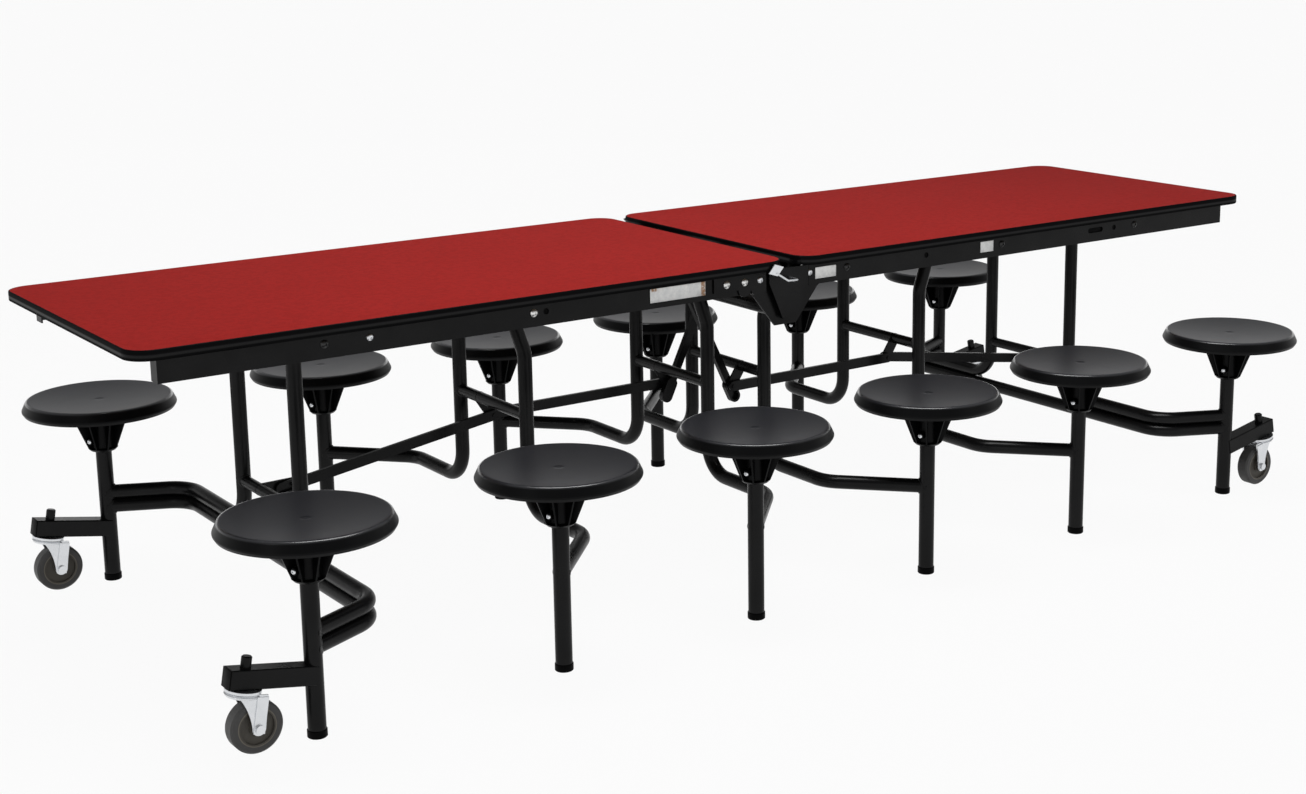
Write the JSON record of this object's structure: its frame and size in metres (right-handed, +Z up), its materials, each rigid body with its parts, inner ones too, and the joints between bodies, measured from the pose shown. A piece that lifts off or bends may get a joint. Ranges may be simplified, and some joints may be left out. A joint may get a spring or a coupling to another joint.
{
  "type": "table with attached swivel seats",
  "caption": "Folding mobile cafeteria table with a red laminate top, black edge band, black tube frames, round dark swivel stools on arms and swivel casters at both ends.",
  "frame": {"origin": "on the floor below the middle of the open table", "axes": "+X along the table, +Y across it to the far side, +Z up"},
  "size_m": [3.01, 1.4406, 0.737],
  "materials": {
    "red_laminate": "satin high-pressure laminate",
    "board": "bare particle board",
    "black_band": "moulded edge band",
    "black_frame": "satin powder coat",
    "zinc": "zinc plated",
    "seat_plastic": "fine moulded texture",
    "black_nylon": "moulded nylon",
    "grey_rubber": "matt"
  },
  "bodies": {
    "yoke": {"centre_yoke": "black_frame"},
    "left_top": {"left_tabletop_core": "board", "left_tabletop_laminate": "red_laminate", "left_edge_band": "black_band", "left_side_rails": "black_frame", "left_pivot_bolts": "zinc"},
    "left_inner_frame": {"left_inner_frame": "black_frame", "left_inner_foot_caps": "black_nylon", "left_inner_seat_bushes": "black_nylon"},
    "left_middle_frame": {"left_middle_frame": "black_frame", "left_middle_foot_caps": "black_nylon", "left_middle_seat_bushes": "black_nylon"},
    "left_end_frame": {"left_end_frame": "black_frame", "left_end_foot_caps": "black_nylon", "left_end_seat_bushes": "black_nylon", "left_caster_stems": "black_frame"},
    "left_inner_tie_bar": {"left_inner_tie_bar": "black_frame"},
    "left_outer_tie_bar": {"left_outer_tie_bar": "black_frame"},
    "left_crossed_link": {"left_crossed_link": "black_frame"},
    "left_lock_lever": {"left_lock_lever": "zinc"},
    "left_near_caster_fork": {"left_near_caster_fork": "zinc"},
    "left_near_caster_wheel": {"left_near_caster_wheel": "grey_rubber"},
    "left_inner_near_seat": {"left_inner_near_seat": "seat_plastic"},
    "left_middle_near_seat": {"left_middle_near_seat": "seat_plastic"},
    "left_end_near_seat": {"left_end_near_seat": "seat_plastic"},
    "left_far_caster_fork": {"left_far_caster_fork": "zinc"},
    "left_far_caster_wheel": {"left_far_caster_wheel": "grey_rubber"},
    "left_inner_far_seat": {"left_inner_far_seat": "seat_plastic"},
    "left_middle_far_seat": {"left_middle_far_seat": "seat_plastic"},
    "left_end_far_seat": {"left_end_far_seat": "seat_plastic"},
    "right_top": {"right_tabletop_core": "board", "right_tabletop_laminate": "red_laminate", "right_edge_band": "black_band", "right_side_rails": "black_frame", "right_pivot_bolts": "zinc"},
    "right_inner_frame": {"right_inner_frame": "black_frame", "right_inner_foot_caps": "black_nylon", "right_inner_seat_bushes": "black_nylon"},
    "right_middle_frame": {"right_middle_frame": "black_frame", "right_middle_foot_caps": "black_nylon", "right_middle_seat_bushes": "black_nylon"},
    "right_end_frame": {"right_end_frame": "black_frame", "right_end_foot_caps": "black_nylon", "right_end_seat_bushes": "black_nylon", "right_caster_stems": "black_frame"},
    "right_inner_tie_bar": {"right_inner_tie_bar": "black_frame"},
    "right_outer_tie_bar": {"right_outer_tie_bar": "black_frame"},
    "right_crossed_link": {"right_crossed_link": "black_frame"},
    "right_lock_lever": {"right_lock_lever": "zinc"},
    "right_near_caster_fork": {"right_near_caster_fork": "zinc"},
    "right_near_caster_wheel": {"right_near_caster_wheel": "grey_rubber"},
    "right_inner_near_seat": {"right_inner_near_seat": "seat_plastic"},
    "right_middle_near_seat": {"right_middle_near_seat": "seat_plastic"},
    "right_end_near_seat": {"right_end_near_seat": "seat_plastic"},
    "right_far_caster_fork": {"right_far_caster_fork": "zinc"},
    "right_far_caster_wheel": {"right_far_caster_wheel": "grey_rubber"},
    "right_inner_far_seat": {"right_inner_far_seat": "seat_plastic"},
    "right_middle_far_seat": {"right_middle_far_seat": "seat_plastic"},
    "right_end_far_seat": {"right_end_far_seat": "seat_plastic"}
  },
  "joints": [
    {"name": "left_fold", "type": "hinge", "parent": "yoke", "child": "left_top", "pos_m": [-0.122, 0, 0.694], "axis": [0, -1, 0], "range_deg": [0, 90]},
    {"name": "left_inner_frame_swing", "type": "hinge", "parent": "left_top", "child": "left_inner_frame", "pos_m": [-0.171, 0, 0.694], "axis": [0, 1, 0], "range_deg": [0, 90]},
    {"name": "left_middle_frame_swing", "type": "hinge", "parent": "left_top", "child": "left_middle_frame", "pos_m": [-0.655, 0, 0.694], "axis": [0, 1, 0], "range_deg": [0, 90]},
    {"name": "left_end_frame_swing", "type": "hinge", "parent": "left_top", "child": "left_end_frame", "pos_m": [-1.118, 0, 0.694], "axis": [0, 1, 0], "range_deg": [0, 83]},
    {"name": "left_inner_tie_bar_swing", "type": "hinge", "parent": "left_middle_frame", "child": "left_inner_tie_bar", "pos_m": [-0.536, 0.065, 0.375], "axis": [0, -1, 0], "range_deg": [0, 90]},
    {"name": "left_outer_tie_bar_swing", "type": "hinge", "parent": "left_middle_frame", "child": "left_outer_tie_bar", "pos_m": [-0.536, 0.051, 0.375], "axis": [0, -1, 0], "range_deg": [0, 84]},
    {"name": "left_crossed_link_swing", "type": "hinge", "parent": "yoke", "child": "left_crossed_link", "pos_m": [0.07, 0.0522, 0.628], "axis": [0, -1, 0], "range_deg": [0, 12]},
    {"name": "left_lock_lever_turn", "type": "hinge", "parent": "yoke", "child": "left_lock_lever", "pos_m": [0.002, -0.354, 0.69], "axis": [0, -1, 0], "range_deg": [0, 25]},
    {"name": "left_near_caster_swivel", "type": "hinge", "parent": "left_end_frame", "child": "left_near_caster_fork", "pos_m": [-1.39871, -0.553, 0.14997], "axis": [0.1822, 0, 0.9833], "continuous": true},
    {"name": "left_near_wheel_spin", "type": "hinge", "parent": "left_near_caster_fork", "child": "left_near_caster_wheel", "pos_m": [-1.3859, -0.553, 0.05443], "axis": [0, 1, 0], "continuous": true},
    {"name": "left_inner_near_seat_swivel", "type": "hinge", "parent": "left_inner_frame", "child": "left_inner_near_seat", "pos_m": [-0.243, -0.553, 0.39], "axis": [0, 0, 1], "continuous": true},
    {"name": "left_middle_near_seat_swivel", "type": "hinge", "parent": "left_middle_frame", "child": "left_middle_near_seat", "pos_m": [-0.727, -0.553, 0.39], "axis": [0, 0, 1], "continuous": true},
    {"name": "left_end_near_seat_swivel", "type": "hinge", "parent": "left_end_frame", "child": "left_end_near_seat", "pos_m": [-1.264, -0.553, 0.39], "axis": [0, 0, 1], "continuous": true},
    {"name": "left_far_caster_swivel", "type": "hinge", "parent": "left_end_frame", "child": "left_far_caster_fork", "pos_m": [-1.39871, 0.553, 0.14997], "axis": [0.1822, 0, 0.9833], "continuous": true},
    {"name": "left_far_wheel_spin", "type": "hinge", "parent": "left_far_caster_fork", "child": "left_far_caster_wheel", "pos_m": [-1.3859, 0.553, 0.05443], "axis": [0, 1, 0], "continuous": true},
    {"name": "left_inner_far_seat_swivel", "type": "hinge", "parent": "left_inner_frame", "child": "left_inner_far_seat", "pos_m": [-0.243, 0.553, 0.39], "axis": [0, 0, 1], "continuous": true},
    {"name": "left_middle_far_seat_swivel", "type": "hinge", "parent": "left_middle_frame", "child": "left_middle_far_seat", "pos_m": [-0.727, 0.553, 0.39], "axis": [0, 0, 1], "continuous": true},
    {"name": "left_end_far_seat_swivel", "type": "hinge", "parent": "left_end_frame", "child": "left_end_far_seat", "pos_m": [-1.264, 0.553, 0.39], "axis": [0, 0, 1], "continuous": true},
    {"name": "right_fold", "type": "hinge", "parent": "yoke", "child": "right_top", "pos_m": [0.122, 0, 0.694], "axis": [0, 1, 0], "range_deg": [0, 90]},
    {"name": "right_inner_frame_swing", "type": "hinge", "parent": "right_top", "child": "right_inner_frame", "pos_m": [0.171, 0, 0.694], "axis": [0, -1, 0], "range_deg": [0, 90]},
    {"name": "right_middle_frame_swing", "type": "hinge", "parent": "right_top", "child": "right_middle_frame", "pos_m": [0.655, 0, 0.694], "axis": [0, -1, 0], "range_deg": [0, 90]},
    {"name": "right_end_frame_swing", "type": "hinge", "parent": "right_top", "child": "right_end_frame", "pos_m": [1.118, 0, 0.694], "axis": [0, -1, 0], "range_deg": [0, 83]},
    {"name": "right_inner_tie_bar_swing", "type": "hinge", "parent": "right_middle_frame", "child": "right_inner_tie_bar", "pos_m": [0.536, -0.065, 0.375], "axis": [0, 1, 0], "range_deg": [0, 90]},
    {"name": "right_outer_tie_bar_swing", "type": "hinge", "parent": "right_middle_frame", "child": "right_outer_tie_bar", "pos_m": [0.536, -0.051, 0.375], "axis": [0, 1, 0], "range_deg": [0, 84]},
    {"name": "right_crossed_link_swing", "type": "hinge", "parent": "yoke", "child": "right_crossed_link", "pos_m": [-0.07, -0.0522, 0.628], "axis": [0, 1, 0], "range_deg": [0, 12]},
    {"name": "right_lock_lever_turn", "type": "hinge", "parent": "yoke", "child": "right_lock_lever", "pos_m": [-0.002, 0.354, 0.69], "axis": [0, 1, 0], "range_deg": [0, 25]},
    {"name": "right_near_caster_swivel", "type": "hinge", "parent": "right_end_frame", "child": "right_near_caster_fork", "pos_m": [1.39871, -0.553, 0.14997], "axis": [-0.1822, 0, 0.9833], "continuous": true},
    {"name": "right_near_wheel_spin", "type": "hinge", "parent": "right_near_caster_fork", "child": "right_near_caster_wheel", "pos_m": [1.3859, -0.553, 0.05443], "axis": [0, 1, 0], "continuous": true},
    {"name": "right_inner_near_seat_swivel", "type": "hinge", "parent": "right_inner_frame", "child": "right_inner_near_seat", "pos_m": [0.243, -0.553, 0.39], "axis": [0, 0, 1], "continuous": true},
    {"name": "right_middle_near_seat_swivel", "type": "hinge", "parent": "right_middle_frame", "child": "right_middle_near_seat", "pos_m": [0.727, -0.553, 0.39], "axis": [0, 0, 1], "continuous": true},
    {"name": "right_end_near_seat_swivel", "type": "hinge", "parent": "right_end_frame", "child": "right_end_near_seat", "pos_m": [1.264, -0.553, 0.39], "axis": [0, 0, 1], "continuous": true},
    {"name": "right_far_caster_swivel", "type": "hinge", "parent": "right_end_frame", "child": "right_far_caster_fork", "pos_m": [1.39871, 0.553, 0.14997], "axis": [-0.1822, 0, 0.9833], "continuous": true},
    {"name": "right_far_wheel_spin", "type": "hinge", "parent": "right_far_caster_fork", "child": "right_far_caster_wheel", "pos_m": [1.3859, 0.553, 0.05443], "axis": [0, 1, 0], "continuous": true},
    {"name": "right_inner_far_seat_swivel", "type": "hinge", "parent": "right_inner_frame", "child": "right_inner_far_seat", "pos_m": [0.243, 0.553, 0.39], "axis": [0, 0, 1], "continuous": true},
    {"name": "right_middle_far_seat_swivel", "type": "hinge", "parent": "right_middle_frame", "child": "right_middle_far_seat", "pos_m": [0.727, 0.553, 0.39], "axis": [0, 0, 1], "continuous": true},
    {"name": "right_end_far_seat_swivel", "type": "hinge", "parent": "right_end_frame", "child": "right_end_far_seat", "pos_m": [1.264, 0.553, 0.39], "axis": [0, 0, 1], "continuous": true}
  ],
  "couplings": [
    {"joint": "left_inner_frame_swing", "follows": "left_fold", "ratio": 1},
    {"joint": "left_middle_frame_swing", "follows": "left_fold", "ratio": 1},
    {"joint": "left_end_frame_swing", "follows": "left_fold", "ratio": 0.91667},
    {"joint": "left_inner_tie_bar_swing", "follows": "left_fold", "ratio": 1},
    {"joint": "left_outer_tie_bar_swing", "follows": "left_fold", "ratio": 0.93},
    {"joint": "left_crossed_link_swing", "follows": "left_fold", "ratio": 0.1288},
    {"joint": "right_fold", "follows": "left_fold", "ratio": 1},
    {"joint": "right_inner_frame_swing", "follows": "left_fold", "ratio": 1},
    {"joint": "right_middle_frame_swing", "follows": "left_fold", "ratio": 1},
    {"joint": "right_end_frame_swing", "follows": "left_fold", "ratio": 0.91667},
    {"joint": "right_inner_tie_bar_swing", "follows": "left_fold", "ratio": 1},
    {"joint": "right_outer_tie_bar_swing", "follows": "left_fold", "ratio": 0.93},
    {"joint": "right_crossed_link_swing", "follows": "left_fold", "ratio": 0.1288}
  ]
}
